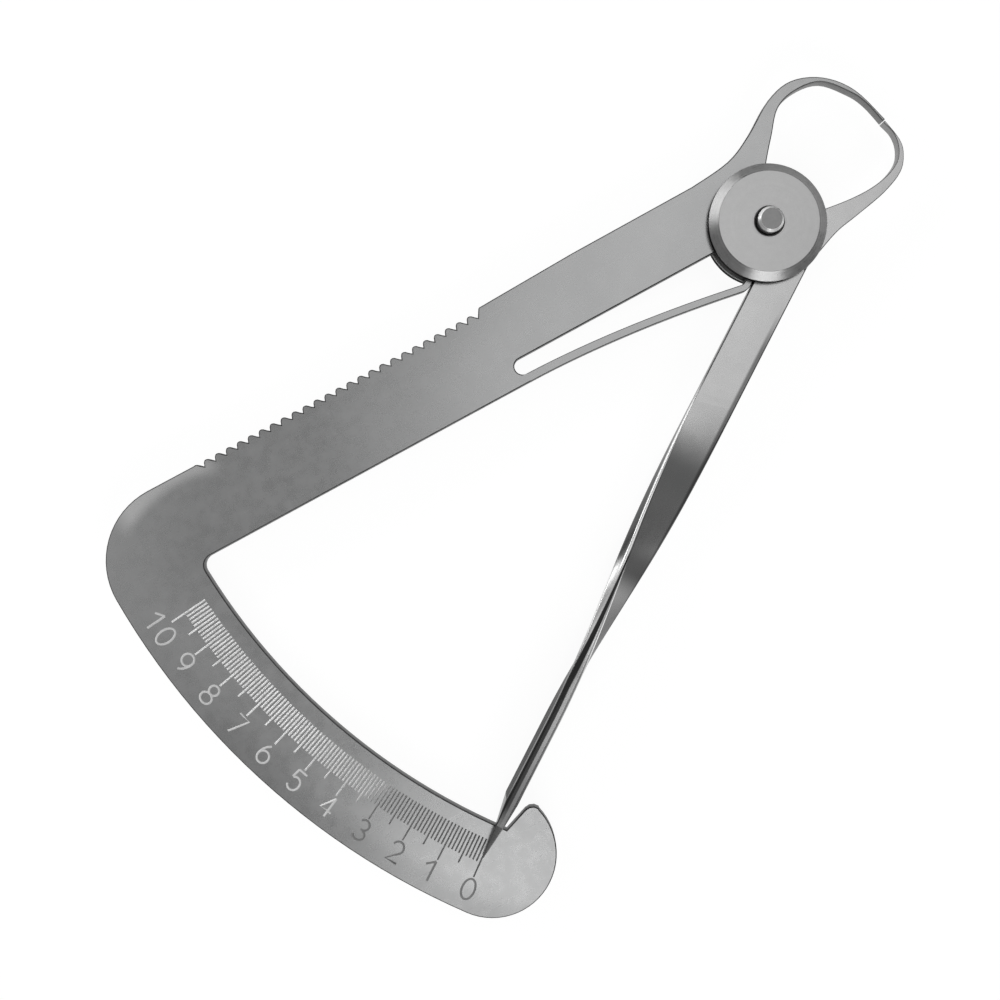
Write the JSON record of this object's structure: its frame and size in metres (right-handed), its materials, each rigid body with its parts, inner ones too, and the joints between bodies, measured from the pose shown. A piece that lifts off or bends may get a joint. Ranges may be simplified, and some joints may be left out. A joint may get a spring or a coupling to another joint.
{
  "type": "crown gauge",
  "caption": "Sprung thickness caliper: curved jaws on a pinned hub, a long pointer arm with a twisted blade, and a curved millimetre scale on the beam.",
  "frame": {"origin": "on the pivot pin's axis, at the flat back of the rear disc", "axes": "-X along the beam from the hub to the scale, -Y towards the zero end of the scale, +Z out of the front where the scale is read"},
  "size_m": [0.1057, 0.07, 0.0062],
  "materials": {
    "plate_steel": "satin stainless steel, fine blasted",
    "arm_steel": "satin stainless steel with polished edges",
    "disc_steel": "satin face with a turned bevel",
    "pin_steel": "satin with a bright chamfer"
  },
  "bodies": {
    "frame": {"scale_frame": "plate_steel", "spring_finger": "plate_steel", "front_disc": "disc_steel", "rear_disc": "disc_steel", "pivot_pin": "pin_steel"},
    "pointer": {"pointer_arm": "arm_steel"}
  },
  "joints": [
    {"name": "pointer_pivot", "type": "hinge", "parent": "frame", "child": "pointer", "pos_m": [0, 0, 0.0025], "axis": [0, 0, -1], "range_deg": [0, 32], "stiffness_Nm_per_rad": 0.08, "springref_deg": -14.32, "deforming": ["spring_finger"]}
  ]
}
